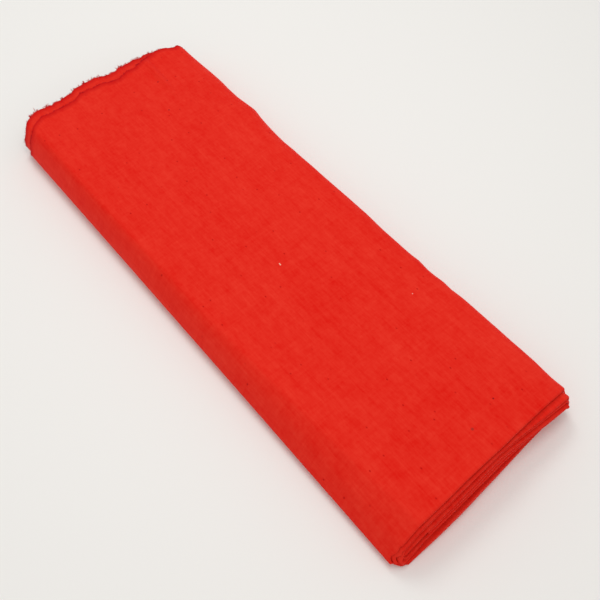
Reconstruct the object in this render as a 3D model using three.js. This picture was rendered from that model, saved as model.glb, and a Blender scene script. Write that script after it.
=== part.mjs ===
// A length of plain red handwoven silk, as it lies on a shelf.
// The cloth is doubled, selvedge to selvedge, and then wound flat on itself.
// X runs along the doubled width: its fold is at +X and its two selvedges at -X.
// Y runs across the plies, Z up. The underside of the outermost ply lies flat on Z = 0.

import * as THREE from 'three';

// Driving sizes, in millimetres
const BUNDLE_WIDTH = 211;
const TIGHT_HEIGHT = 25.2;
const NEAR_END = 273.8;
const FAR_END = -304.5;
const LEAF = 1.0;
const SLOT = 0.4;
const FOLD_DEPTH = 1.8;
const PLY_COUNT = 9;

// The form of the bends: how far they stand out, as a share of their height, and the power
// of their superellipse. Those on the left are pinched, the wider ones on the right are blunt.
const LEFT_BEND = { stretch: 1.0, power: 1.7, growth: 0 };
const RIGHT_BEND = { stretch: 0.92, power: 2, growth: 0.133 };

// The height of the loose bundle at each end, as a share of the tight winding's.
// It falls off towards each side, to a share of that, over a shoulder.
const NEAR_HEIGHT = 1.47;
const FAR_HEIGHT = 1.4;
const LEFT_SHOULDER = { nearShare: 0.35, farShare: 0.62, nearWidth: 31, farWidth: 14, power: 1.3 };
const RIGHT_SHOULDER = { nearShare: 0.82, farShare: 0.85, nearWidth: 40, farWidth: 30, power: 2 };

// Where the two loose ends stop: one at the core, one under the bundle
const CORE_END_Y = -70;
const OUTER_END_Y = 82;

// The folded end leans: the lower plies stand out further, a little more so on the left
// half and less on the right. Over its whole width it also runs at a slant.
const NEAR_LEAN = 8.4;
const LEAN_CURVE = 0.22;
const NEAR_SLANT = 4.8;

// The selvedge end is rounded in plan, so its corners lie back. It is uneven besides:
// how far it stops short across the bundle.
const FAR_ROUNDING = { left: 11.5, right: 9.5, power: 6 };
const FAR_LINE = [
  { y: -104, short: 5.2 },
  { y: -93, short: 3.8 },
  { y: -85, short: 0 },
  { y: -76, short: -2.2 },
  { y: -66, short: 0 },
  { y: -36, short: 0 },
  { y: -28, short: -3.8 },
  { y: -2, short: -3.2 },
  { y: 8, short: 1.6 },
  { y: 18, short: 1.6 },
  { y: 26, short: -1.8 },
  { y: 66, short: -1.8 },
  { y: 78, short: 1.4 },
  { y: 92, short: 5.8 },
  { y: 100, short: 2.4 },
];
// Towards the right the outer leaf stops less and less short of the inner one.
const MEET_FROM = 35;
const MEET_FULL = 96;
const MEET_STEP = 0.6;

// The right side is not quite straight: how far it stands out along the bundle
const SIDE_LINE = [
  { x: -300, out: 0.8 },
  { x: -220, out: 1.2 },
  { x: -160, out: 0.2 },
  { x: -85, out: -1.5 },
  { x: 50, out: -0.4 },
  { x: 190, out: 1.1 },
  { x: 255, out: 1.0 },
  { x: 285, out: 3.8 },
];

// One row for each ply, from the core to the outermost one.
//   fold: how far the doubled edge stands out at the near end
//   middle, right: how much further it stands out there, in the middle and on the right
//   outer, inner: how far the selvedge of the outer and inner leaf stops short at the far end
//   nose: how much further the edge stands out round the bend that follows the ply
const PLIES = [
  { fold: 0.6, middle: 0, right: 5.2, outer: 9, inner: 4, nose: 0.8 },
  { fold: 1.0, middle: 0, right: 6.2, outer: 8, inner: 2, nose: -1.0 },
  { fold: 0.6, middle: 0.6, right: 2.8, outer: 12, inner: 5, nose: 1.0 },
  { fold: -0.2, middle: 0, right: 5.6, outer: 10, inner: 4, nose: 1.6 },
  { fold: 0.8, middle: -10.0, right: -0.5, outer: 13, inner: 7, nose: 0.4 },
  { fold: 0.8, middle: 0, right: 4.4, outer: 10, inner: 2, nose: -2.2 },
  { fold: -0.4, middle: -9.0, right: -2.0, outer: 11, inner: 4, nose: -2.4 },
  { fold: -0.8, middle: 0, right: -0.4, outer: 14, inner: 0, nose: -4.5 },
  { fold: 0.6, middle: 0, right: -1.5, outer: 9, inner: 2, nose: 0 },
];

// Where the middle column holds, and where the right one sets in
const MIDDLE_Y = -18;
const MIDDLE_SPREAD = 85;
const RIGHT_FROM = 10;
const RIGHT_FULL = 100;

// Where the stack gapes between its tight sides.
//   over: the number of plies under the gap, and half a ply more if it is in that ply's slot
//   rise: how far it opens
//   across, spread: its middle along Y and its half width
//   end, depth: the end that it opens at, and how far in it reaches
const GAPS = [
  { over: 0.5, rise: 9.2, across: -18, spread: 88, end: 1, depth: 220 },
  { over: 4.5, rise: 1.2, across: 0, spread: 85, end: 1, depth: 220 },
  { over: 5.5, rise: 1.2, across: 0, spread: 85, end: 1, depth: 220 },
  { over: 7, rise: 0.8, across: 25, spread: 78, end: 1, depth: 180 },
  { over: 8, rise: 2.1, across: 5, spread: 90, end: 1, depth: 240 },
  { over: 5, rise: 1.2, across: 20, spread: 75, end: -1, depth: 200 },
  { over: 7, rise: 0.8, across: -20, spread: 75, end: -1, depth: 150 },
];

// Where the stack gapes at the near end its plies lie closer, by this share of their height.
const SQUASH = { share: 0.31, across: -8, spread: 85, end: 1, depth: 220 };

// Places of the stations along a leaf, as a share of its length from the selvedge
const LEAF_STATIONS = [0, 0.1, 0.36, 0.66, 0.88, 1];

// Steps along the winding
const TOP_PLY = PLY_COUNT - 2;
const STEPS_PER_TOP_FLAT = 30;
const STEPS_PER_FLAT = 12;
const STEPS_PER_TIGHT_BEND = 4;
const STEPS_PER_ROUND_BEND = 8;
const TIGHT_BEND_RADIUS = 7;

// Finish
const CLOTH_COLOUR = 0xd62e26;
const CLOTH_ROUGHNESS = 0.78;

// Sizes that follow from these
const HALF_PLY = LEAF + SLOT / 2;
const HALF_SLOT = SLOT / 2;
const PITCH = (TIGHT_HEIGHT - 2 * HALF_PLY) / (PLY_COUNT - 1);
const MIDDLE = (PLY_COUNT - 1) / 2;
const HALF_WIDTH = BUNDLE_WIDTH / 2;
const LEFT_CENTRE = -HALF_WIDTH + HALF_PLY + LEFT_BEND.stretch * MIDDLE * PITCH;
const RIGHT_CENTRE = HALF_WIDTH - HALF_PLY - RIGHT_BEND.stretch * (MIDDLE - 0.5) * PITCH;

function lerp(from, to, share) {
  return from + (to - from) * share;
}

function clamp01(value) {
  return Math.min(1, Math.max(0, value));
}

// The place in the stack of each ply, counted from the middle: 0, 1, -1, 2, -2 and so on
function placeInStack(ply) {
  const turn = Math.floor((ply + 1) / 2);
  return ply % 2 === 1 ? turn : -turn;
}

function levelOf(ply) {
  return HALF_PLY + (MIDDLE + placeInStack(ply)) * PITCH;
}

// A ply's flat run, from one round side to the other; odd ones run back.
function flatRun(ply) {
  const forward = ply % 2 === 0;
  let from = forward ? LEFT_CENTRE : RIGHT_CENTRE;
  let to = forward ? RIGHT_CENTRE : LEFT_CENTRE;
  if (ply === 0) {
    from = CORE_END_Y;
  }
  if (ply === PLY_COUNT - 1) {
    to = OUTER_END_Y;
  }
  const steps = ply === TOP_PLY ? STEPS_PER_TOP_FLAT : STEPS_PER_FLAT;
  const stations = [];
  for (let step = 0; step <= steps; step += 1) {
    const share = step / steps;
    stations.push({
      y: lerp(from, to, share),
      z: levelOf(ply),
      outY: 0,
      outZ: forward ? -1 : 1,
      ply,
      nose: 0,
    });
  }
  return stations;
}

// The half superellipse that joins a ply to the next one, without its two ends
function bend(ply) {
  const onRight = ply % 2 === 0;
  const side = onRight ? 1 : -1;
  const { stretch, power: leastPower, growth } = onRight ? RIGHT_BEND : LEFT_BEND;
  const radius = ((ply + 1) * PITCH) / 2;
  const power = leastPower + growth * ply;
  const steps = radius < TIGHT_BEND_RADIUS ? STEPS_PER_TIGHT_BEND : STEPS_PER_ROUND_BEND;
  const centreY = onRight ? RIGHT_CENTRE : LEFT_CENTRE;
  const centreZ = (levelOf(ply) + levelOf(ply + 1)) / 2;
  const stations = [];
  for (let step = 1; step < steps; step += 1) {
    const share = step / steps;
    const angle = Math.PI * (share - 0.5);
    const reach = Math.cos(angle);
    const rise = Math.abs(Math.sin(angle));
    const up = Math.sign(Math.sin(angle)) * side;
    const outY = side * reach ** (2 - 2 / power);
    const outZ = up * stretch * rise ** (2 - 2 / power);
    const length = Math.hypot(outY, outZ);
    stations.push({
      y: centreY + side * stretch * radius * reach ** (2 / power),
      z: centreZ + up * radius * rise ** (2 / power),
      outY: outY / length,
      outZ: outZ / length,
      ply: ply + share,
      nose: PLIES[ply].nose * reach,
    });
  }
  return stations;
}

function windingStations() {
  const stations = [];
  for (let ply = 0; ply < PLY_COUNT; ply += 1) {
    stations.push(...flatRun(ply));
    if (ply < PLY_COUNT - 1) {
      stations.push(...bend(ply));
    }
  }
  return stations;
}

// A column of the table of plies, blended round the bends
function fromTable(column, ply) {
  const row = Math.floor(ply);
  const next = Math.min(row + 1, PLY_COUNT - 1);
  return lerp(PLIES[row][column], PLIES[next][column], ply - row);
}

// A value from a table of places along one axis, in steps that run straight from row to row
function fromLine(table, axis, column, place) {
  const first = table[0];
  const last = table[table.length - 1];
  const held = Math.min(last[axis], Math.max(first[axis], place));
  const row = Math.max(1, table.findIndex((entry) => entry[axis] >= held));
  const from = table[row - 1];
  const to = table[row];
  return lerp(from[column], to[column], (held - from[axis]) / (to[axis] - from[axis]));
}

// From 0 up to 1 and down again, or only up
function hump(value) {
  return Math.sin((Math.PI / 2) * clamp01(value)) ** 2;
}

function smoothStep(value) {
  const share = clamp01(value);
  return share * share * (3 - 2 * share);
}

function foldEdge(station) {
  const { y, z, ply, nose } = station;
  const curve = 1 - LEAN_CURVE * Math.sin((Math.PI * y) / HALF_WIDTH);
  const lean = NEAR_LEAN * (1 - z / TIGHT_HEIGHT) * curve;
  const slant = (-NEAR_SLANT * y) / HALF_WIDTH;
  const middle = hump(1 - Math.abs(y - MIDDLE_Y) / MIDDLE_SPREAD) * fromTable('middle', ply);
  const right = smoothStep((y - RIGHT_FROM) / (RIGHT_FULL - RIGHT_FROM)) * fromTable('right', ply);
  return NEAR_END + lean + slant + fromTable('fold', ply) + middle + right + nose;
}

function selvedgeEdge(station, leaf) {
  const reach = Math.min(1, Math.abs(station.y) / HALF_WIDTH);
  const side = station.y > 0 ? FAR_ROUNDING.right : FAR_ROUNDING.left;
  const rounding = side * reach ** FAR_ROUNDING.power;
  const uneven = fromLine(FAR_LINE, 'y', 'short', station.y);
  let own = fromTable(leaf, station.ply);
  if (leaf === 'outer') {
    const together = smoothStep((station.y - MEET_FROM) / (MEET_FULL - MEET_FROM));
    own = lerp(own, fromTable('inner', station.ply) + MEET_STEP, together);
  }
  return FAR_END + rounding + uneven + own;
}

// One station's section, as points of X and distance from the middle of the ply.
// It runs along the inner leaf to the fold, back along the outer leaf, and in and out of the slot.
function section(station) {
  const foldStart = foldEdge(station) - FOLD_DEPTH;
  const innerEnd = selvedgeEdge(station, 'inner');
  const outerEnd = selvedgeEdge(station, 'outer');
  const along = (end, offset) => LEAF_STATIONS.map((share) => [lerp(end, foldStart, share), offset]);
  const fold = [-45, 0, 45].map((degrees) => {
    const angle = THREE.MathUtils.degToRad(degrees);
    return [foldStart + FOLD_DEPTH * Math.cos(angle), HALF_PLY * Math.sin(angle)];
  });
  return [
    ...along(innerEnd, -HALF_PLY),
    ...fold,
    ...along(outerEnd, HALF_PLY).reverse(),
    ...along(outerEnd, HALF_SLOT),
    [foldStart + HALF_SLOT, 0],
    ...along(innerEnd, -HALF_SLOT).reverse(),
  ];
}

// From 0 up to 1 at the middle of a place where the stack gapes
function swell(place, x, y) {
  const endX = place.end > 0 ? NEAR_END : FAR_END;
  const across = hump(1 - Math.abs(y - place.across) / place.spread);
  return across * hump(1 - Math.abs(x - endX) / place.depth);
}

// How far a gap lifts what lies above it, at a point of the tight winding
function liftOf(gap, x, y, z) {
  const between = Number.isInteger(gap.over);
  const middle = (gap.over - 0.5) * PITCH + HALF_PLY;
  const half = between ? PITCH / 2 - HALF_PLY : HALF_SLOT;
  return gap.rise * clamp01((z - middle + half) / (2 * half)) * swell(gap, x, y);
}

function sideLine(x, y) {
  return fromLine(SIDE_LINE, 'x', 'out', x) * clamp01(y / HALF_WIDTH) ** 2;
}

// How high the bundle stands across a shoulder, from its share at the very side up to 1
function shoulderShare(shoulder, distance, nearness) {
  const sideShare = lerp(shoulder.farShare, shoulder.nearShare, nearness ** 2);
  const width = lerp(shoulder.farWidth, shoulder.nearWidth, nearness ** 3);
  const rest = 1 - clamp01(distance / width);
  return 1 - (1 - sideShare) * rest ** shoulder.power;
}

function looseness(x, y) {
  const nearness = clamp01((x - FAR_END) / (NEAR_END - FAR_END));
  const left = shoulderShare(LEFT_SHOULDER, HALF_WIDTH + y, nearness);
  const right = shoulderShare(RIGHT_SHOULDER, HALF_WIDTH - y, nearness);
  return lerp(FAR_HEIGHT, NEAR_HEIGHT, nearness) * left * right;
}

// The loose form that the tight winding settles into
function settle(x, y, z) {
  let lift = -SQUASH.share * z * swell(SQUASH, x, y);
  for (const gap of GAPS) {
    lift += liftOf(gap, x, y, z);
  }
  return [x, y + sideLine(x, y), z * looseness(x, y) + lift];
}

function windingGeometry() {
  const stations = windingStations();
  const count = LEAF_STATIONS.length;
  const ring = section(stations[0]).length;
  const positions = [];
  for (const station of stations) {
    for (const [x, offset] of section(station)) {
      const y = station.y + station.outY * offset;
      const z = station.z + station.outZ * offset;
      positions.push(...settle(x, y, z));
    }
  }

  const index = [];
  const quad = (a, b, c, d) => index.push(a, b, c, a, c, d);
  for (let row = 0; row < stations.length - 1; row += 1) {
    for (let point = 0; point < ring; point += 1) {
      const next = (point + 1) % ring;
      const here = row * ring;
      const there = here + ring;
      quad(here + point, here + next, there + next, there + point);
    }
  }

  // The two loose ends of the cloth
  const innerFace = (step) => step;
  const foldPoint = (step) => count + step;
  const outerFace = (step) => 2 * count + 2 - step;
  const outerSlot = (step) => 2 * count + 3 + step;
  const slotEnd = 3 * count + 3;
  const innerSlot = (step) => 4 * count + 3 - step;
  const last = count - 1;
  const endFaces = [];
  for (let step = 0; step < last; step += 1) {
    endFaces.push([innerFace(step), innerFace(step + 1), innerSlot(step + 1)]);
    endFaces.push([innerFace(step), innerSlot(step + 1), innerSlot(step)]);
    endFaces.push([outerSlot(step), outerSlot(step + 1), outerFace(step + 1)]);
    endFaces.push([outerSlot(step), outerFace(step + 1), outerFace(step)]);
  }
  const roundTheFold = [
    innerSlot(last),
    innerFace(last),
    foldPoint(0),
    foldPoint(1),
    foldPoint(2),
    outerFace(last),
    outerSlot(last),
  ];
  for (let step = 0; step < roundTheFold.length - 1; step += 1) {
    endFaces.push([slotEnd, roundTheFold[step], roundTheFold[step + 1]]);
  }
  const lastRing = (stations.length - 1) * ring;
  for (const [a, b, c] of endFaces) {
    index.push(a, c, b);
    index.push(lastRing + a, lastRing + b, lastRing + c);
  }

  const geometry = new THREE.BufferGeometry();
  geometry.setAttribute('position', new THREE.Float32BufferAttribute(positions, 3));
  geometry.setIndex(index);
  geometry.computeBoundingBox();
  const centre = geometry.boundingBox.getCenter(new THREE.Vector3());
  geometry.translate(-centre.x, -centre.y, 0);
  geometry.computeVertexNormals();
  return geometry;
}

const silk = new THREE.MeshStandardMaterial({
  color: CLOTH_COLOUR,
  roughness: CLOTH_ROUGHNESS,
  metalness: 0,
});

const cloth = new THREE.Mesh(windingGeometry(), silk);
cloth.name = 'cloth';

const bundle = new THREE.Group();
bundle.add(cloth);

export default bundle;
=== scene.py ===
import math

import bpy
import numpy as np
from mathutils import Matrix, Vector, noise


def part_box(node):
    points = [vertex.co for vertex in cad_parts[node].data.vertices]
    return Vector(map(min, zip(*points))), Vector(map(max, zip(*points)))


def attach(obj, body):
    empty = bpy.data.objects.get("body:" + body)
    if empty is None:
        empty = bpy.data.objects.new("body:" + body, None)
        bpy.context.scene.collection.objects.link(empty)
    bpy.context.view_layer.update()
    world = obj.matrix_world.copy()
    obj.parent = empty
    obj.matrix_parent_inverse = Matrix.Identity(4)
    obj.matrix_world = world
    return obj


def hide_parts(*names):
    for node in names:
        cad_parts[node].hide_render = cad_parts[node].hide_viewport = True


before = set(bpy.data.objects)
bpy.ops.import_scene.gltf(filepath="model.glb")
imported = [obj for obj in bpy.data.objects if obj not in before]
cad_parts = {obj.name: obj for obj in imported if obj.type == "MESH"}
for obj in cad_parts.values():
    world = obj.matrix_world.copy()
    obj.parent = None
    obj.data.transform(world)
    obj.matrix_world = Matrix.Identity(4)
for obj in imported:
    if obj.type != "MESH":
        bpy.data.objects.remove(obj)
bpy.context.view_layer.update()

CLOTH_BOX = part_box("cloth")

# Driving sizes of the bundle, in metres
BUNDLE_WIDTH = 0.211
TIGHT_HEIGHT = 0.0252
NEAR_END = 0.2738
FAR_END = -0.3045
PLY_COUNT = 9
HALF_PLY = 0.0012
LEAF = 0.00035
FOLD_DEPTH = 0.0018

# The bends on the left are pointed, those on the right are blunt.
LEFT_BEND = {"stretch": 1.00, "power": 1.7, "growth": 0.0}
RIGHT_BEND = {"stretch": 0.92, "power": 2.0, "growth": 0.133}
# The edge of the wide bends stands out in a few points.
TOOTH_DEPTH = 0.0014
TOOTH_COUNT = 3
TOOTHED_FROM = 5

# The height of the loose bundle at each end, as a share of the tight winding's.
# It falls off towards each side, to a share of that, over a shoulder.
NEAR_HEIGHT = 1.47
FAR_HEIGHT = 1.4
# How high each side stands against the middle, how wide its shoulder is, and how round
LEFT_SHOULDER = {
    "near_share": 0.35, "far_share": 0.62,
    "near_width": 0.031, "far_width": 0.014, "power": 1.3,
}
RIGHT_SHOULDER = {
    "near_share": 0.82, "far_share": 0.85,
    "near_width": 0.040, "far_width": 0.030, "power": 2,
}

# Where the loose ends lie across the bundle
CORE_END_Y = -0.070
OUTER_END_Y = 0.082

# The near end leans, and it is cut at a slant.
NEAR_LEAN = 0.0084
NEAR_SLANT = 0.0048
# How far the far end is rounded back at each side
FAR_ROUNDING = {"left": 0.0115, "right": 0.0095, "power": 6}
# The lean of the near end is a little more on its left half, less on its right.
LEAN_CURVE = 0.22

# The right side is not quite straight: how far it stands out along the bundle
SIDE_LINE = [
    {"x": -0.300, "out": 0.0008},
    {"x": -0.220, "out": 0.0012},
    {"x": -0.160, "out": 0.0002},
    {"x": -0.085, "out": -0.0015},
    {"x": 0.050, "out": -0.0004},
    {"x": 0.190, "out": 0.0011},
    {"x": 0.255, "out": 0.0010},
    {"x": 0.285, "out": 0.0038},
]
# Small waves of the right side, on top of that
SIDE_WAVES = [
    {"x": -0.300, "out": 0.0000},
    {"x": -0.240, "out": 0.0018},
    {"x": -0.222, "out": 0.0014},
    {"x": -0.198, "out": -0.0002},
    {"x": -0.180, "out": 0.0016},
    {"x": -0.164, "out": 0.0032},
    {"x": -0.148, "out": 0.0006},
    {"x": -0.130, "out": -0.0006},
    {"x": -0.110, "out": -0.0013},
    {"x": -0.092, "out": 0.0000},
    {"x": 0.020, "out": 0.0001},
    {"x": 0.045, "out": -0.0009},
    {"x": 0.080, "out": -0.0007},
    {"x": 0.091, "out": 0.0003},
    {"x": 0.107, "out": -0.0012},
    {"x": 0.123, "out": 0.0004},
    {"x": 0.134, "out": -0.0005},
    {"x": 0.146, "out": 0.0005},
    {"x": 0.205, "out": 0.0005},
    {"x": 0.228, "out": 0.0011},
    {"x": 0.250, "out": 0.0000},
]

# The selvedge end is uneven: how far it stops short across the bundle
FAR_LINE = [
    {"y": -0.104, "short": 0.0052},
    {"y": -0.093, "short": 0.0038},
    {"y": -0.085, "short": 0.0000},
    {"y": -0.076, "short": -0.0022},
    {"y": -0.066, "short": 0.0000},
    {"y": -0.036, "short": 0.0000},
    {"y": -0.028, "short": -0.0038},
    {"y": -0.002, "short": -0.0032},
    {"y": 0.008, "short": 0.0016},
    {"y": 0.018, "short": 0.0016},
    {"y": 0.026, "short": -0.0018},
    {"y": 0.066, "short": -0.0018},
    {"y": 0.078, "short": 0.0014},
    {"y": 0.092, "short": 0.0058},
    {"y": 0.100, "short": 0.0024},
]

# Towards the right the outer leaf stops less and less short of the inner one.
MEET_FROM = 0.035
MEET_FULL = 0.096
MEET_STEP = 0.0006

# One row for each ply, from the core to the outermost one:
#   fold: how far its doubled edge stands out at the near end
#   middle, right: how much further it stands out there, in the middle and on the right
#   outer, inner: how far the selvedge of its outer and inner leaf stops short at the far end
#   nose: how much further the doubled edge stands out at the bend that follows
PLY_COLUMNS = ("fold", "middle", "right", "outer", "inner", "nose")
PLIES = [dict(zip(PLY_COLUMNS, row)) for row in (
    (0.0006, 0.0000, 0.0052, 0.009, 0.004, 0.0008),
    (0.0010, 0.0000, 0.0062, 0.008, 0.002, -0.0010),
    (0.0006, 0.0006, 0.0028, 0.012, 0.005, 0.0010),
    (-0.0002, 0.0000, 0.0056, 0.010, 0.004, 0.0016),
    (0.0008, -0.0100, -0.0005, 0.013, 0.007, 0.0004),
    (0.0008, 0.0000, 0.0044, 0.010, 0.002, -0.0022),
    (-0.0004, -0.0090, -0.0020, 0.011, 0.004, -0.0024),
    (-0.0008, 0.0000, -0.0004, 0.014, 0.000, -0.0045),
    (0.0006, 0.0000, -0.0015, 0.009, 0.002, 0.0000),
)]
# Where the middle column holds, and where the right one sets in
MIDDLE_Y = -0.018
MIDDLE_SPREAD = 0.085
RIGHT_FROM = 0.010
RIGHT_FULL = 0.100

# Fine unevenness of the fold and of the selvedges, along the winding
FOLD_WANDER = [
    {"height": 0.0007, "length": 0.060, "seed": 3.1},
    {"height": 0.0004, "length": 0.021, "seed": 8.7},
]
SELVEDGE_WANDER = [
    {"height": 0.0014, "length": 0.055, "seed": 0},
    {"height": 0.0018, "length": 0.017, "seed": 4},
    {"height": 0.0016, "length": 0.0052, "seed": 8},
]
LEAF_SEEDS = {"outer": 1.3, "inner": 5.9}

# Where the stack gapes between its tight sides, counted from the lowest ply
GAPS = [
    {"over": 0.5, "rise": 0.0092, "across": -0.018, "spread": 0.088, "end": 1, "depth": 0.220},
    {"over": 4.5, "rise": 0.0012, "across": 0.000, "spread": 0.085, "end": 1, "depth": 0.220},
    {"over": 5.5, "rise": 0.0012, "across": 0.000, "spread": 0.085, "end": 1, "depth": 0.220},
    {"over": 7, "rise": 0.0008, "across": 0.025, "spread": 0.078, "end": 1, "depth": 0.180},
    {"over": 8, "rise": 0.0021, "across": 0.005, "spread": 0.090, "end": 1, "depth": 0.240},
    {"over": 5, "rise": 0.0012, "across": 0.020, "spread": 0.075, "end": -1, "depth": 0.200},
    {"over": 7, "rise": 0.0008, "across": -0.020, "spread": 0.075, "end": -1, "depth": 0.150},
]
# Where it gapes at the near end its plies lie closer.
SQUASH = {"share": 0.31, "across": -0.008, "spread": 0.085, "end": 1, "depth": 0.220}

# Soft creases in the top of the bundle: a line from x0, y0 to x1, y1, how high it stands
# and how wide it is
CREASES = [
    {"x0": -0.296, "y0": 0.055, "x1": -0.234, "y1": 0.049, "height": 0.0036, "width": 0.0034},
    {"x0": -0.262, "y0": -0.086, "x1": -0.205, "y1": -0.080, "height": 0.0007, "width": 0.0050},
    {"x0": -0.272, "y0": 0.012, "x1": -0.240, "y1": -0.004, "height": 0.0006, "width": 0.0060},
    {"x0": 0.150, "y0": -0.072, "x1": 0.262, "y1": -0.066, "height": 0.0008, "width": 0.0080},
]
# Shallow unevenness of the top: the length of its bumps along X and Y, and its height
RIPPLES = [
    {"long": 0.120, "wide": 0.060, "height": 0.0022, "seed": 2.1},
    {"long": 0.045, "wide": 0.022, "height": 0.00085, "seed": 7.4},
    {"long": 0.016, "wide": 0.009, "height": 0.00026, "seed": 5.2},
]
# The outer leaf's selvedge stands off the inner leaf in waves.
FLUTTER_HEIGHT = 0.0011
FLUTTER_LENGTH = 0.030
FLUTTER_DEPTH = 0.016
FLUTTER_SEED = 11.3

# Stations along a leaf: distances from its selvedge and from its fold, and the step between
SELVEDGE_STATIONS = [0, 0.002, 0.005, 0.010, 0.018, 0.030, 0.048]
FOLD_STATIONS = [0, 0.0015, 0.0035, 0.007, 0.012, 0.020, 0.032, 0.050]
COARSE_STEP = 0.028
FINE_STEP = 0.0048
LEAF_LENGTH = 0.560
FOLD_POINTS = 9
SLOT_POINTS = 3
SLOT_TURN = math.pi / 4
SHARP_ANGLE = 50

TOP_PLY = 7
TOP_FLAT_STEPS = 110
HIDDEN_FLAT_STEPS = 12
BEND_STEP = 0.0022
BEND_STEPS_MIN = 6

PITCH = (TIGHT_HEIGHT - 2 * HALF_PLY) / (PLY_COUNT - 1)
MIDDLE = (PLY_COUNT - 1) / 2
HALF_WIDTH = BUNDLE_WIDTH / 2
LEFT_CENTRE = -HALF_WIDTH + HALF_PLY + LEFT_BEND["stretch"] * MIDDLE * PITCH
RIGHT_CENTRE = HALF_WIDTH - HALF_PLY - RIGHT_BEND["stretch"] * (MIDDLE - 0.5) * PITCH

# Camera, as fitted to the photograph
CAMERA_AZIMUTH = 50.6
CAMERA_ELEVATION = 56.6
CAMERA_ROLL = -0.2
CAMERA_DISTANCE = 0.7825
CAMERA_TARGET = (0.0502, -0.0078, 0.020)
FOCAL_PIXELS = 850
FRAME_PIXELS = 600
SENSOR_WIDTH = 36.0


def new_object(name, data):
    made = bpy.data.objects.new(name, data)
    bpy.context.scene.collection.objects.link(made)
    return made


def make_camera(shift):
    azimuth = math.radians(CAMERA_AZIMUTH)
    elevation = math.radians(CAMERA_ELEVATION)
    roll = math.radians(CAMERA_ROLL)
    back = Vector((
        math.sin(azimuth) * math.cos(elevation),
        -math.cos(azimuth) * math.cos(elevation),
        math.sin(elevation),
    ))
    level = Vector((math.cos(azimuth), math.sin(azimuth), 0))
    upright = back.cross(level)
    right = math.cos(roll) * level + math.sin(roll) * upright
    up = back.cross(right)
    data = bpy.data.cameras.new("camera")
    data.sensor_width = SENSOR_WIDTH
    data.lens = SENSOR_WIDTH * FOCAL_PIXELS / FRAME_PIXELS
    camera = new_object("camera", data)
    axes = Matrix((right, up, back)).transposed().to_4x4()
    place = Vector(CAMERA_TARGET) + Vector(shift) + back * CAMERA_DISTANCE
    camera.matrix_world = Matrix.Translation(place) @ axes
    bpy.context.scene.camera = camera


# Light: a bright room, a window at the back on the left, and a soft lamp overhead
WORLD_COLOUR = (1.0, 0.985, 0.965, 1)
WORLD_STRENGTH = 0.655
LIGHTS = [
    {"name": "window", "place": (-1.02, 0.46, 1.64), "size": 0.6, "power": 7.2},
    {"name": "lamp", "place": (0.12, -0.05, 1.10), "size": 0.5, "power": 2.4},
]
FLOOR_COLOUR = (0.89, 0.88, 0.855, 1)
FLOOR_ROUGHNESS = 0.7
FLOOR_SIZE = 40.0


def make_light():
    world = bpy.data.worlds.new("room")
    world.use_nodes = True
    background = world.node_tree.nodes["Background"]
    background.inputs["Color"].default_value = WORLD_COLOUR
    background.inputs["Strength"].default_value = WORLD_STRENGTH
    bpy.context.scene.world = world
    for row in LIGHTS:
        data = bpy.data.lights.new(row["name"], "AREA")
        data.size = row["size"]
        data.energy = row["power"]
        light = new_object(row["name"], data)
        light.location = row["place"]
        light.rotation_euler = (-Vector(row["place"])).to_track_quat("-Z", "Y").to_euler()
    bpy.context.scene.view_settings.view_transform = "Standard"


def make_floor():
    half = FLOOR_SIZE / 2
    mesh = bpy.data.meshes.new("floor")
    corners = [(-half, -half, 0), (half, -half, 0), (half, half, 0), (-half, half, 0)]
    mesh.from_pydata(corners, [], [(0, 1, 2, 3)])
    floor = new_object("floor", mesh)
    material = bpy.data.materials.new("pale_floor")
    material.use_nodes = True
    shader = material.node_tree.nodes["Principled BSDF"]
    shader.inputs["Base Color"].default_value = FLOOR_COLOUR
    shader.inputs["Roughness"].default_value = FLOOR_ROUGHNESS
    mesh.materials.append(material)


def smooth_step(value):
    value = np.clip(value, 0, 1)
    return value * value * (3 - 2 * value)


def wander(places, step, seed):
    """Soft uneven noise from -1 to 1 along a list of places, with bumps about as long as step."""
    return np.array([noise.noise(Vector((place / step, seed, 0.5))) for place in places])


def wander_sum(path, rows, seed):
    """Several sizes of soft unevenness along the winding, added up."""
    total = 0
    for row in rows:
        total = total + row["height"] * wander(path["along"], row["length"], row["seed"] + seed)
    return total


def hump(value, middle, spread):
    """From 0 up to 1 at the middle, and back to 0."""
    return np.sin(math.pi / 2 * np.clip(1 - np.abs(value - middle) / spread, 0, 1)) ** 2


def from_line(rows, place, measure, value):
    return np.interp(value, [row[place] for row in rows], [row[measure] for row in rows])


def place_in_stack(ply):
    turn = (ply + 1) // 2
    return turn if ply % 2 else -turn


def level_of(ply):
    return HALF_PLY + (MIDDLE + place_in_stack(ply)) * PITCH


def flat_run(ply):
    """A ply's flat run from one bend to the other, as rows of y, z, out_y, out_z, ply and nose."""
    forward = ply % 2 == 0
    start, stop = (LEFT_CENTRE, RIGHT_CENTRE) if forward else (RIGHT_CENTRE, LEFT_CENTRE)
    if ply == 0:
        start = CORE_END_Y
    if ply == PLY_COUNT - 1:
        stop = OUTER_END_Y
    steps = TOP_FLAT_STEPS if ply == TOP_PLY else HIDDEN_FLAT_STEPS
    out_z = -1 if forward else 1
    return [(y, level_of(ply), 0, out_z, ply, 0) for y in np.linspace(start, stop, steps + 1)]


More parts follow.
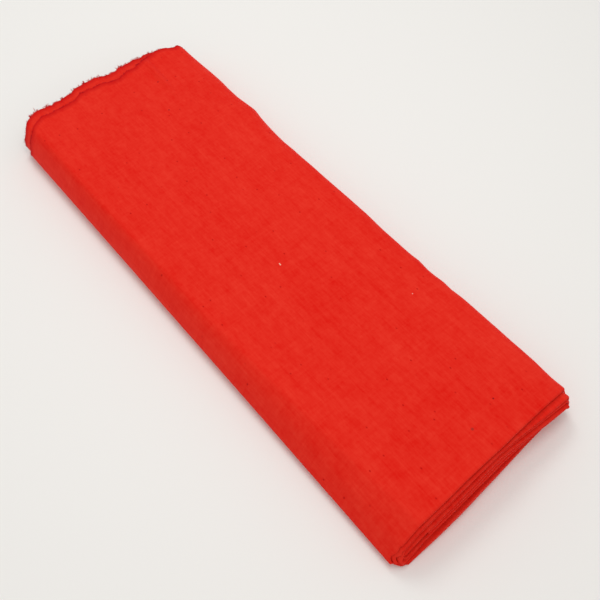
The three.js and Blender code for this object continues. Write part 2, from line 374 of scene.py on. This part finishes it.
def bend(ply):
    """The half ellipse that joins a ply to the next one, without its two ends.

    The wider a blunt one is, the more it is squared.
    """
    side = 1 if ply % 2 == 0 else -1
    shape = RIGHT_BEND if side > 0 else LEFT_BEND
    stretch = shape["stretch"]
    centre_y = RIGHT_CENTRE if side > 0 else LEFT_CENTRE
    radius = (ply + 1) * PITCH / 2
    power = shape["power"] + shape["growth"] * ply
    centre_z = (level_of(ply) + level_of(ply + 1)) / 2
    steps = max(BEND_STEPS_MIN, round(math.pi * radius / BEND_STEP))
    rows = []
    for step in range(1, steps):
        angle = math.pi * (step / steps - 0.5)
        reach = math.cos(angle)
        rise = abs(math.sin(angle))
        up = side * (1 if angle > 0 else -1)
        steepness = 2 - 2 / power
        out = Vector((side * reach ** steepness, up * stretch * rise ** steepness)).normalized()
        y = centre_y + side * stretch * radius * reach ** (2 / power)
        z = centre_z + up * radius * rise ** (2 / power)
        tooth = 1 - 2 * abs((TOOTH_COUNT * step / steps) % 1 * 2 - 1)
        nose = PLIES[ply]["nose"] * reach + (TOOTH_DEPTH * tooth if ply >= TOOTHED_FROM else 0)
        rows.append((y, z, out.x, out.y, ply + step / steps, nose))
    return rows


def winding():
    rows = []
    for ply in range(PLY_COUNT):
        rows += flat_run(ply)
        if ply < PLY_COUNT - 1:
            rows += bend(ply)
    columns = np.array(rows, dtype=float).T
    path = dict(zip(("y", "z", "out_y", "out_z", "ply", "nose"), columns))
    steps = np.hypot(np.diff(path["y"]), np.diff(path["z"]))
    path["along"] = np.concatenate([[0], np.cumsum(steps)])
    return path


def from_table(column, ply):
    return np.interp(ply, range(PLY_COUNT), [row[column] for row in PLIES])


def fold_edge(path):
    curve = 1 - LEAN_CURVE * np.sin(math.pi * path["y"] / HALF_WIDTH)
    lean = NEAR_LEAN * (1 - path["z"] / TIGHT_HEIGHT) * curve
    slant = -NEAR_SLANT * path["y"] / HALF_WIDTH
    middle = hump(path["y"], MIDDLE_Y, MIDDLE_SPREAD) * from_table("middle", path["ply"])
    share = smooth_step((path["y"] - RIGHT_FROM) / (RIGHT_FULL - RIGHT_FROM))
    right = share * from_table("right", path["ply"])
    own = from_table("fold", path["ply"]) + middle
    uneven = wander_sum(path, FOLD_WANDER, 0)
    return NEAR_END + lean + slant + own + right + uneven + path["nose"]


def selvedge_edge(path, leaf):
    reach = np.clip(np.abs(path["y"]) / HALF_WIDTH, 0, 1)
    side = np.where(path["y"] > 0, FAR_ROUNDING["right"], FAR_ROUNDING["left"])
    rounding = side * reach ** FAR_ROUNDING["power"]
    uneven = wander_sum(path, SELVEDGE_WANDER, LEAF_SEEDS[leaf])
    line = from_line(FAR_LINE, "y", "short", path["y"])
    own = from_table(leaf, path["ply"])
    if leaf == "outer":
        together = smooth_step((path["y"] - MEET_FROM) / (MEET_FULL - MEET_FROM))
        own = own + together * (from_table("inner", path["ply"]) + MEET_STEP - own)
    return FAR_END + rounding + line + own + uneven


def leaf_shares(step):
    """Places along a leaf, from its selvedge at 0 to its fold at 1."""
    start = SELVEDGE_STATIONS
    stop = [LEAF_LENGTH - place for place in reversed(FOLD_STATIONS)]
    count = max(1, round((stop[0] - start[-1]) / step))
    between = np.linspace(start[-1], stop[0], count + 1)[1:-1]
    return np.array([*start, *between, *stop]) / LEAF_LENGTH


def swell(place, x, y):
    """From 0 up to 1 at the middle of a place where the stack gapes."""
    end_x = NEAR_END if place["end"] > 0 else FAR_END
    return hump(y, place["across"], place["spread"]) * hump(x, end_x, place["depth"])


def lift(x, y, z):
    """How far the gaps below a point raise it.

    A gap over a whole number of plies lies between two of them. Any other is in a ply's slot.
    """
    total = -SQUASH["share"] * z * swell(SQUASH, x, y)
    for gap in GAPS:
        between = gap["over"] == round(gap["over"])
        middle = (gap["over"] - 0.5) * PITCH + HALF_PLY
        half = PITCH / 2 - HALF_PLY if between else HALF_PLY - LEAF
        above = np.clip((z - middle + half) / (2 * half), 0, 1)
        total += gap["rise"] * above * swell(gap, x, y)
    return total


def side_line(x, y):
    out = from_line(SIDE_LINE, "x", "out", x) + from_line(SIDE_WAVES, "x", "out", x)
    return out * np.clip(y / HALF_WIDTH, 0, 1) ** 2


def section(path):
    """The rings of points around the doubled cloth, one for each place along the winding.

    For each point: x, distance from the middle of the ply, place across the cloth, and
    distance from its selvedge. Also how many points of a ring are on the outside.
    """
    fold_start = fold_edge(path) - FOLD_DEPTH
    outer_end = selvedge_edge(path, "outer")
    inner_end = selvedge_edge(path, "inner")
    fine = leaf_shares(FINE_STEP)
    coarse = leaf_shares(COARSE_STEP)
    half_slot = HALF_PLY - LEAF

    def along(end, shares, offset):
        x = end[:, None] + (fold_start - end)[:, None] * shares[None, :]
        return x, np.full_like(x, offset)

    def across_outer(x):
        return x - FAR_END

    def across_inner(x):
        return 2 * NEAR_END - FAR_END - x

    angles = np.linspace(-math.pi / 2, math.pi / 2, FOLD_POINTS + 2)[1:-1]
    fold_x = fold_start[:, None] + FOLD_DEPTH * np.cos(angles)[None, :]
    fold_offset = np.tile(HALF_PLY * np.sin(angles), (len(fold_start), 1))
    slot_angles = np.linspace(SLOT_TURN, -SLOT_TURN, SLOT_POINTS)
    slot_x = fold_start[:, None] + (FOLD_DEPTH - LEAF) * np.cos(slot_angles)[None, :]
    slot_offset = np.tile(half_slot * np.sin(slot_angles), (len(fold_start), 1))

    inner_face = along(inner_end, coarse, -HALF_PLY)
    outer_face = [part[:, ::-1] for part in along(outer_end, fine, HALF_PLY)]
    outer_slot = along(outer_end, coarse, half_slot)
    inner_slot = [part[:, ::-1] for part in along(inner_end, coarse, -half_slot)]
    fold_across = across_outer(fold_start)[:, None] - HALF_PLY * angles[None, :]
    slot_across = np.tile(across_outer(fold_start)[:, None], (1, SLOT_POINTS))

    x = np.concatenate([
        inner_face[0], fold_x, outer_face[0],
        outer_slot[0], slot_x, inner_slot[0],
    ], axis=1)
    offset = np.concatenate([
        inner_face[1], fold_offset, outer_face[1],
        outer_slot[1], slot_offset, inner_slot[1],
    ], axis=1)
    across = np.concatenate([
        across_inner(inner_face[0]), fold_across, across_outer(outer_face[0]),
        across_outer(outer_slot[0]), slot_across, across_inner(inner_slot[0]),
    ], axis=1)
    ends = np.where(offset > 0, outer_end[:, None], inner_end[:, None])
    outside_count = len(coarse) + FOLD_POINTS + len(fine)
    return x, offset, across, x - ends, outside_count


def shoulder_share(shoulder, distance, nearness):
    """How high the bundle stands across a shoulder, from its share at the very side up to 1."""
    share_growth = shoulder["near_share"] - shoulder["far_share"]
    width_growth = shoulder["near_width"] - shoulder["far_width"]
    side_share = shoulder["far_share"] + share_growth * nearness ** 2
    width = shoulder["far_width"] + width_growth * nearness ** 3
    rest = 1 - np.clip(distance / width, 0, 1)
    return 1 - (1 - side_share) * rest ** shoulder["power"]


def looseness(x, y):
    nearness = np.clip((x - FAR_END) / (NEAR_END - FAR_END), 0, 1)
    left = shoulder_share(LEFT_SHOULDER, HALF_WIDTH + y, nearness)
    right = shoulder_share(RIGHT_SHOULDER, HALF_WIDTH - y, nearness)
    return (FAR_HEIGHT + (NEAR_HEIGHT - FAR_HEIGHT) * nearness) * left * right


def bumps(x, y, long, wide, seed):
    spots = zip(x.reshape(-1) / long, y.reshape(-1) / wide)
    return np.array([noise.noise(Vector((u, v, seed))) for u, v in spots]).reshape(x.shape)


def top_relief(x, y, z):
    """The creases and ripples of the top, which fade out towards the floor."""
    total = np.zeros_like(x)
    for ripple in RIPPLES:
        total += ripple["height"] * bumps(x, y, ripple["long"], ripple["wide"], ripple["seed"])
    for crease in CREASES:
        run = np.array([crease["x1"] - crease["x0"], crease["y1"] - crease["y0"]])
        share = ((x - crease["x0"]) * run[0] + (y - crease["y0"]) * run[1]) / (run @ run)
        share = np.clip(share, 0, 1)
        away = np.hypot(x - crease["x0"] - share * run[0], y - crease["y0"] - share * run[1])
        profile = np.exp(-(away / crease["width"]) ** 2)
        total += crease["height"] * profile * np.sin(math.pi * share) ** 0.5
    return total * np.clip(z / TIGHT_HEIGHT, 0, 1) ** 2


def flutter(path, selvedge_distance, offset):
    """How far the outer leaf stands off near its selvedge."""
    wave = 0.5 + 0.5 * wander(path["along"], FLUTTER_LENGTH, FLUTTER_SEED)
    near = np.exp(-selvedge_distance / FLUTTER_DEPTH)
    return FLUTTER_HEIGHT * wave[:, None] * near * (offset > 0)


def settled(path, x, offset, selvedge_distance):
    """The loose form that the tight winding settles into."""
    y = path["y"][:, None] + path["out_y"][:, None] * offset
    z = path["z"][:, None] + path["out_z"][:, None] * offset
    rise = lift(x, y, z) + top_relief(x, y, z)
    on_top = (path["ply"] > TOP_PLY - 0.5) & (path["ply"] < TOP_PLY + 0.5)
    rise = rise + np.where(on_top[:, None], flutter(path, selvedge_distance, offset), 0)
    return np.stack([x, y + side_line(x, y), z * looseness(x, y) + rise], axis=-1)


def end_faces(points, outside_count):
    """Triangles that close a cut end of the cloth, between its outside and its slot."""
    outside = list(range(outside_count))
    slot = list(range(outside_count, len(points)))[::-1]
    shares = []
    for row in (outside, slot):
        steps = np.linalg.norm(np.diff(points[row], axis=0), axis=1)
        travelled = np.concatenate([[0], np.cumsum(steps)])
        shares.append(travelled / travelled[-1])
    faces = []
    out, within = 0, 0
    while out < len(outside) - 1 or within < len(slot) - 1:
        slot_is_done = within == len(slot) - 1
        outside_is_done = out == len(outside) - 1
        if slot_is_done or (not outside_is_done and shares[0][out + 1] <= shares[1][within + 1]):
            faces.append((outside[out], outside[out + 1], slot[within]))
            out += 1
        else:
            faces.append((outside[out], slot[within + 1], slot[within]))
            within += 1
    return faces


def make_cloth():
    path = winding()
    x, offset, across, selvedge_distance, outside_count = section(path)
    points = settled(path, x, offset, selvedge_distance)
    rows, ring = x.shape
    here = (np.arange(rows - 1) * ring)[:, None] + np.arange(ring)[None, :]
    following = (np.arange(rows - 1) * ring)[:, None] + (np.arange(ring)[None, :] + 1) % ring
    quads = np.stack([here, following, following + ring, here + ring], axis=-1).reshape(-1, 4)
    faces = quads.tolist()
    last = (rows - 1) * ring
    faces += [face[::-1] for face in end_faces(points[0], outside_count)]
    for face in end_faces(points[-1], outside_count):
        faces.append(tuple(last + point for point in face))
    shift = centring_shift(points)
    mesh = bpy.data.meshes.new("khadi_cloth")
    mesh.from_pydata((points + shift).reshape(-1, 3).tolist(), [], faces)
    place = mesh.attributes.new("cloth_place", "FLOAT_VECTOR", "POINT")
    along = np.tile(path["along"][:, None], (1, ring))
    values = np.stack([across, along, selvedge_distance], axis=-1)
    place.data.foreach_set("vector", values.reshape(-1).astype(np.float32))
    mesh.polygons.foreach_set("use_smooth", [True] * len(mesh.polygons))
    mesh.set_sharp_from_angle(angle=math.radians(SHARP_ANGLE))
    mesh.update()
    return new_object("khadi_cloth", mesh), path, shift


def resample(path, places):
    """The path at other places along it."""
    taken = {name: np.interp(places, path["along"], values) for name, values in path.items()}
    size = np.hypot(taken["out_y"], taken["out_z"])
    taken["out_y"] /= size
    taken["out_z"] /= size
    return taken


# Frayed weft ends along the selvedges: the distance between two tufts, and their sizes
TUFT_STEP = 0.0004
TUFT_LENGTH = {"outer": 0.0012, "inner": 0.0027}
TUFT_RADIUS = 0.00042
TUFT_ROOT = 0.0006
# They come in clumps, and each one has its own length, lean and curl.
TUFT_CLUMPS = {"least": 0.25, "gain": 1.25, "raise": 0.42, "length": 0.0034, "seed": 9}
TUFT_SPREAD = (0.55, 1.15)
TUFT_SIDEWAYS = (0, 0.42)
TUFT_UPWARD = (0.05, 0.30)
TUFT_CURL = (-0.5, 0.5)
TUFT_SEED = 41
# A tuft's two rings, as shares of its reach and of its radius, and the corners of a ring
TUFT_RINGS = ((0.0, 1.0), (0.55, 0.75))
TUFT_CORNERS = (0.5, 2.6, 4.7)
# Nothing of it goes lower than this.
TUFT_FLOOR = 0.00005
TIP_FLOOR = 0.0001


def make_fray(path, shift, material):
    """Short tufts along both selvedges, as one mesh."""
    random = np.random.default_rng(TUFT_SEED)
    points, faces = [], []
    for leaf, side in (("outer", 1), ("inner", -1)):
        count = int(path["along"][-1] / TUFT_STEP)
        places = np.sort(random.uniform(0, path["along"][-1], count))
        here = resample(path, places)
        end = selvedge_edge(here, leaf)[:, None]
        offset = np.full((count, 1), side * (HALF_PLY - LEAF / 2))
        inset = np.full((count, 1), TUFT_ROOT)
        roots = settled(here, end + inset, offset, inset)[:, 0]
        clumps = wander(places, TUFT_CLUMPS["length"], LEAF_SEEDS[leaf] + TUFT_CLUMPS["seed"])
        clumps = np.clip(clumps + TUFT_CLUMPS["raise"], 0, 1)
        clumps = TUFT_CLUMPS["least"] + TUFT_CLUMPS["gain"] * clumps
        lengths = TUFT_LENGTH[leaf] * clumps * random.uniform(*TUFT_SPREAD, count)
        for root, length in zip(roots + shift, lengths):
            sideways = random.normal(*TUFT_SIDEWAYS)
            upward = random.normal(*TUFT_UPWARD)
            curl = random.uniform(*TUFT_CURL)
            add_tuft(points, faces, root, length, sideways, upward, curl)
    mesh = bpy.data.meshes.new("fray")
    mesh.from_pydata(points, [], faces)
    mesh.polygons.foreach_set("use_smooth", [True] * len(mesh.polygons))
    mesh.materials.append(material)
    return new_object("fray", mesh)


def add_tuft(points, faces, root, length, sideways, upward, curl):
    """One tapering three-sided tuft that runs out from its root."""
    first = len(points)
    reach = length + TUFT_ROOT
    for share, radius_share in TUFT_RINGS:
        radius = radius_share * TUFT_RADIUS
        away = share * reach
        x = root[0] - away
        y = root[1] + away * sideways * (1 + curl * share)
        z = root[2] + away * upward * (1 + curl * share)
        for angle in TUFT_CORNERS:
            corner_z = max(z + radius * math.sin(angle), TUFT_FLOOR)
            points.append((x, y + radius * math.cos(angle), corner_z))
    tip_y = root[1] + reach * sideways * (1 + curl)
    tip_z = root[2] + reach * upward * (1 + curl)
    points.append((root[0] - reach, tip_y, max(tip_z, TIP_FLOOR)))
    sides = len(TUFT_CORNERS)
    second = first + sides
    tip = second + sides
    for corner in range(sides):
        following = (corner + 1) % sides
        faces.append((first + corner, second + corner, second + following, first + following))
        faces.append((second + corner, tip, second + following))
    faces.append((first, first + 1, first + 2))


def centring_shift(points):
    """How far the cloth moves to stand in the middle of its box and on the floor of it."""
    low = points.reshape(-1, 3).min(axis=0)
    high = points.reshape(-1, 3).max(axis=0)
    box_low, box_high = np.array(CLOTH_BOX[0]), np.array(CLOTH_BOX[1])
    shift = (box_low + box_high) / 2 - (low + high) / 2
    shift[2] = box_low[2] - low[2]
    return shift


# Silk: the colours of its paler and darker threads, its selvedges (their band also holds painted
# shadow) and its faults
PALE_THREAD = (0.830, 0.041, 0.023, 1)
DARK_THREAD = (0.72, 0.007, 0.004, 1)
# The selvedge colour is partly the denser weave and partly painted shadow.
SELVEDGE_AND_SHADE_COLOUR = (0.53, 0.002, 0.005, 1)
NEP_COLOUR = (0.50, 0.006, 0.005, 1)
GLOSS_TINT = (1.0, 0.46, 0.27, 1)
GLOSS_LEVEL = 0.03
SHEEN_TINT = (1.0, 0.03, 0.02, 1)
SHEEN_WEIGHT = 0.36
SHEEN_ROUGHNESS = 0.5
ROUGHNESS = 0.44
THREAD_PITCH = 0.0005
WEAVE_BUMP = {"Distance": 0.00005, "Strength": 0.18}
SLUB_BUMP = {"Distance": 0.00025, "Strength": 0.6}
# The frayed ends' red, darkened with painted shade among the fibre ends
FRAY_AND_SHADE_COLOUR = (0.55, 0.008, 0.014, 1)
FRAY_ROUGHNESS = 0.75
FRAY_GLOSS = 0.05

# Unevenness of the weave: bumps for each metre across and along the cloth, and its weight
UNEVENNESS = [
    {"across": 26, "along": 820, "weight": 0.50},
    {"across": 520, "along": 48, "weight": 0.42},
    {"across": 9, "along": 260, "weight": 0.36},
    {"across": 230, "along": 400, "weight": 0.62},
    {"across": 75, "along": 130, "weight": 0.64},
    {"across": 14, "along": 22, "weight": 0.46},
]

# Neps: cells for each metre across and along the cloth, each with one small speck. A speck's
# size is a share of its cell, and only some of them are dark enough to show.
NEP_CELLS = (38, 56, 1)
NEP_SIZE = (0.020, 0.052)
NEP_CHOSEN = (0.40, 0.85)
NEP_STRENGTH = 0.9

# The dark band of a selvedge, partly its denser weave and partly painted shadow along the outer
# leaf's edge: where it is full and where it ends
SELVEDGE_AND_SHADE_BAND = (0.0004, 0.0070)
SELVEDGE_AND_SHADE_STRENGTH = 0.8

# Faults that show on the top, in the bundle's own frame: lint, a stain and dark slubs
MARKS = [
    {"x": 0.0152, "y": -0.0034, "radius": 0.0006, "colour": (0.92, 0.62, 0.45, 1)},
    {"x": 0.0166, "y": -0.0036, "radius": 0.0007, "colour": (0.92, 0.62, 0.45, 1)},
    {"x": 0.1177, "y": 0.0682, "radius": 0.0006, "colour": (0.88, 0.40, 0.34, 1)},
    {"x": 0.2467, "y": 0.0105, "radius": 0.0013, "colour": (0.38, 0.028, 0.022, 1)},
    {"x": 0.2379, "y": 0.0449, "radius": 0.0009, "colour": (0.22, 0.006, 0.012, 1)},
    {"x": -0.2565, "y": 0.0467, "radius": 0.0009, "colour": (0.36, 0.006, 0.012, 1)},
    {"x": -0.2138, "y": 0.0315, "radius": 0.0010, "colour": (0.34, 0.006, 0.012, 1)},
]
# A mark is full up to the first share of its radius and ends at the second.
MARK_EDGE = (0.5, 1.3)
MARK_STRENGTH = 0.9
MARKED_FROM_Z = 0.028
MARKED_FULL_Z = 0.029


class Nodes:
    """A short way to write a material's nodes."""

    def __init__(self, tree):
        self.tree = tree

    def add(self, kind, inputs=(), **settings):
        node = self.tree.nodes.new(kind)
        for name, value in settings.items():
            setattr(node, name, value)
        for name, value in dict(inputs).items():
            if isinstance(value, bpy.types.NodeSocket):
                self.tree.links.new(value, node.inputs[name])
            else:
                node.inputs[name].default_value = value
        return node

    def maths(self, operation, first, second=0.0):
        node = self.add("ShaderNodeMath", {0: first, 1: second}, operation=operation)
        return node.outputs[0]

    def noise(self, vector, scale, detail=2.0):
        stretched = self.add("ShaderNodeMapping", {"Vector": vector, "Scale": scale})
        node = self.add(
            "ShaderNodeTexNoise",
            {"Vector": stretched.outputs[0], "Scale": 1.0, "Detail": detail},
        )
        return node.outputs["Fac"]

    def span(self, value, low, high, to_low=0.0, to_high=1.0):
        ends = {"From Min": low, "From Max": high, "To Min": to_low, "To Max": to_high}
        node = self.add("ShaderNodeMapRange", {"Value": value, **ends})
        return node.outputs[0]

    def blend(self, factor, first, second):
        node = self.add("ShaderNodeMix", {0: factor, 6: first, 7: second}, data_type="RGBA")
        return node.outputs[2]


def silk_material(shift):
    material = bpy.data.materials.new("khadi_silk")
    material.use_nodes = True
    nodes = Nodes(material.node_tree)
    shader = material.node_tree.nodes["Principled BSDF"]
    place = nodes.add("ShaderNodeAttribute", attribute_name="cloth_place").outputs["Vector"]
    split = nodes.add("ShaderNodeSeparateXYZ", {0: place})
    across, along, from_selvedge = split.outputs

    # Slubs: uneven threads that run across the cloth, fainter ones along it, and patches
    tone = 0.5 - 0.5 * sum(row["weight"] for row in UNEVENNESS)
    for row in UNEVENNESS:
        bumps_of_row = nodes.noise(place, (row["across"], row["along"], 1))
        weighted = nodes.add(
            "ShaderNodeMath",
            {0: bumps_of_row, 1: row["weight"], 2: tone},
            operation="MULTIPLY_ADD",
        )
        tone = weighted.outputs[0]
    colour = nodes.blend(tone, DARK_THREAD, PALE_THREAD)

    # Neps: small dark specks, drawn out a little along the weft
    cells = nodes.add("ShaderNodeMapping", {"Vector": place, "Scale": NEP_CELLS})
    specks = nodes.add(
        "ShaderNodeTexVoronoi",
        {"Vector": cells.outputs[0], "Scale": 1.0},
        voronoi_dimensions="2D",
    )
    chosen = nodes.add("ShaderNodeSeparateColor", {0: specks.outputs["Color"]})
    around = nodes.span(specks.outputs["Distance"], *NEP_SIZE)
    strength = nodes.span(chosen.outputs[0], *NEP_CHOSEN, 0, NEP_STRENGTH)
    speck = nodes.maths("MULTIPLY", nodes.maths("SUBTRACT", 1.0, around), strength)
    colour = nodes.blend(speck, colour, NEP_COLOUR)

    # The selvedges are denser and darker, and their band also carries painted shadow that thickens
    # the dark line along the outer leaf's edge.
    edge = nodes.span(from_selvedge, *SELVEDGE_AND_SHADE_BAND, SELVEDGE_AND_SHADE_STRENGTH, 0)
    colour = nodes.blend(edge, colour, SELVEDGE_AND_SHADE_COLOUR)

    # Marks on the top, each a soft round spot
    point = nodes.add("ShaderNodeTexCoord").outputs["Object"]
    height = nodes.add("ShaderNodeSeparateXYZ", {0: point}).outputs[2]
    on_top = nodes.span(height, MARKED_FROM_Z, MARKED_FULL_Z)
    level = nodes.add("ShaderNodeVectorMath", {0: point, 1: (1, 1, 0)}, operation="MULTIPLY")
    for mark in MARKS:
        middle = (mark["x"] + shift[0], mark["y"] + shift[1], 0)
        away = nodes.add(
            "ShaderNodeVectorMath",
            {0: level.outputs[0], 1: middle},
            operation="DISTANCE",
        )
        ends = [mark["radius"] * share for share in MARK_EDGE]
        inside = nodes.span(away.outputs["Value"], *ends, MARK_STRENGTH, 0)
        colour = nodes.blend(nodes.maths("MULTIPLY", inside, on_top), colour, mark["colour"])
    material.node_tree.links.new(colour, shader.inputs["Base Color"])

    # Relief: the plain weave, one thread over and one under, and the slubs
    turn = math.pi / THREAD_PITCH
    over = nodes.maths("SINE", nodes.maths("MULTIPLY", across, turn))
    under = nodes.maths("SINE", nodes.maths("MULTIPLY", along, turn))
    weave = nodes.maths("MULTIPLY", over, under)
    weave_bump = nodes.add("ShaderNodeBump", {"Height": weave, **WEAVE_BUMP})
    slub_bump = nodes.add(
        "ShaderNodeBump",
        {"Height": tone, "Normal": weave_bump.outputs[0], **SLUB_BUMP},
    )
    material.node_tree.links.new(slub_bump.outputs[0], shader.inputs["Normal"])
    shader.inputs["Roughness"].default_value = ROUGHNESS
    shader.inputs["Specular IOR Level"].default_value = GLOSS_LEVEL
    shader.inputs["Specular Tint"].default_value = GLOSS_TINT
    shader.inputs["Sheen Weight"].default_value = SHEEN_WEIGHT
    shader.inputs["Sheen Roughness"].default_value = SHEEN_ROUGHNESS
    shader.inputs["Sheen Tint"].default_value = SHEEN_TINT
    return material


def fray_material():
    material = bpy.data.materials.new("frayed_silk")
    material.use_nodes = True
    shader = material.node_tree.nodes["Principled BSDF"]
    # The base colour holds painted shade as well as the silk's red.
    shader.inputs["Base Color"].default_value = FRAY_AND_SHADE_COLOUR
    shader.inputs["Roughness"].default_value = FRAY_ROUGHNESS
    shader.inputs["Specular IOR Level"].default_value = FRAY_GLOSS
    return material


make_light()
make_floor()
cloth, path, shift = make_cloth()
make_camera(shift)
cloth.data.materials.append(silk_material(shift))
fray = make_fray(path, shift, fray_material())
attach(cloth, "root")
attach(fray, "root")
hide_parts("cloth")
